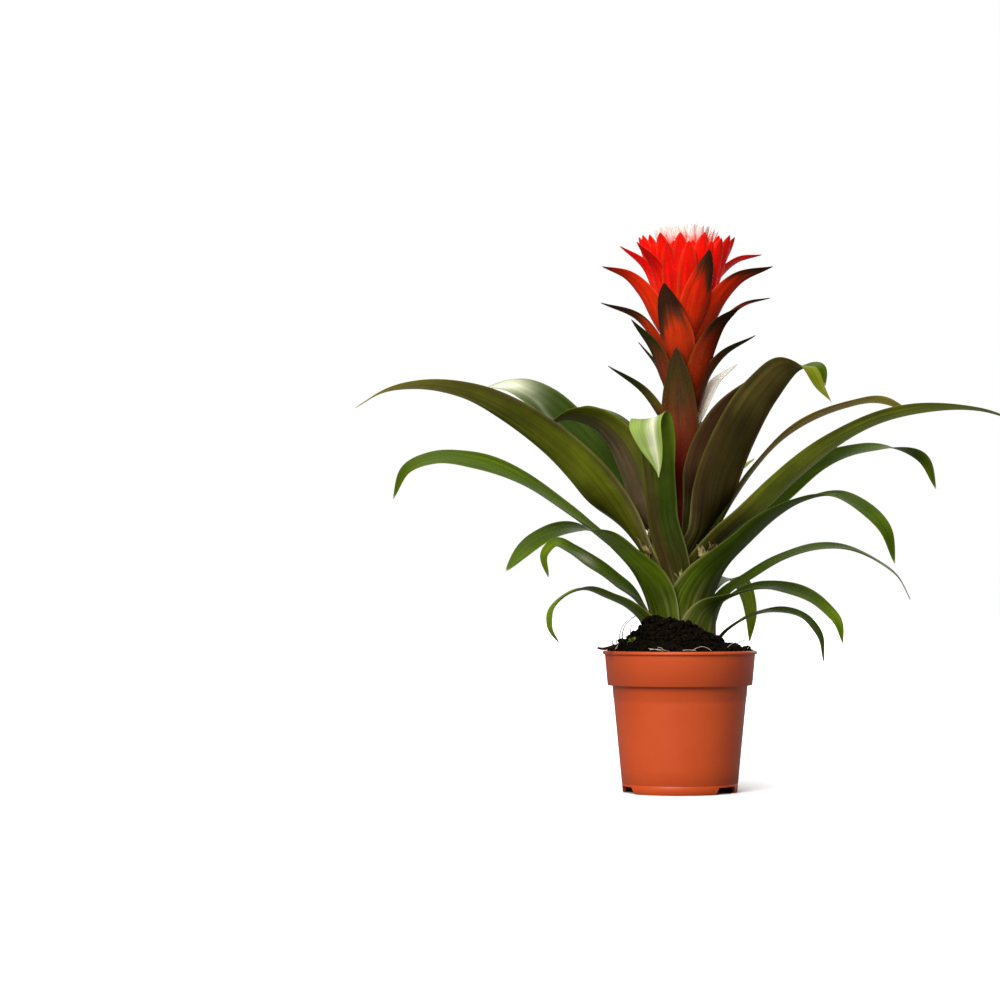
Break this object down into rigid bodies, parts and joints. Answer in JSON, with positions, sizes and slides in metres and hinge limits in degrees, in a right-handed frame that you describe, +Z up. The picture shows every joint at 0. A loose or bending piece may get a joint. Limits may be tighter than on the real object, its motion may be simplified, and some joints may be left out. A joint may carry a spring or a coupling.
{
  "type": "potted hope guzmania",
  "caption": "Flowering bromeliad with arching strap leaves and a red bract head tipped with white florets, in a terracotta-coloured nursery pot.",
  "frame": {"origin": "on the ground, under the middle of the whole plant's box, which is 13 mm to the right of the pot's axis and 26 mm behind it", "axes": "+Z up, along the pot's axis, -Y towards the front that the picture shows, +X to the right seen from the front"},
  "size_m": [0.5111, 0.3109, 0.4474],
  "materials": {
    "pot_plastic": "satin",
    "peat": "matte",
    "stem": "satin",
    "green_leaf": "satin",
    "dark_leaf": "satin",
    "red_bract": "satin",
    "white_floret": "matte"
  },
  "bodies": {
    "root": {"pot": "pot_plastic", "potting_soil": "peat", "flower_stem": "stem", "leaf_right_low": "green_leaf", "leaf_right_lowest": "green_leaf", "leaf_left_lowest": "green_leaf", "leaf_right_mid": "green_leaf", "leaf_left_low": "green_leaf", "leaf_left_folded": "green_leaf", "leaf_right_front": "green_leaf", "leaf_back_right_low": "green_leaf", "leaf_back_low": "green_leaf", "leaf_left_mid": "green_leaf", "leaf_front": "green_leaf", "leaf_left_long": "green_leaf", "leaf_right_back": "green_leaf", "leaf_back_mid": "green_leaf", "leaf_right_long": "green_leaf", "leaf_right_slim": "green_leaf", "leaf_left_back": "green_leaf", "leaf_left_dark": "dark_leaf", "leaf_right_dark": "dark_leaf", "leaf_left_young": "green_leaf", "leaf_back_high": "green_leaf", "leaf_right_dark_behind": "dark_leaf", "leaf_back_young": "green_leaf", "red_bracts": "red_bract", "florets": "white_floret"}
  },
  "joints": []
}
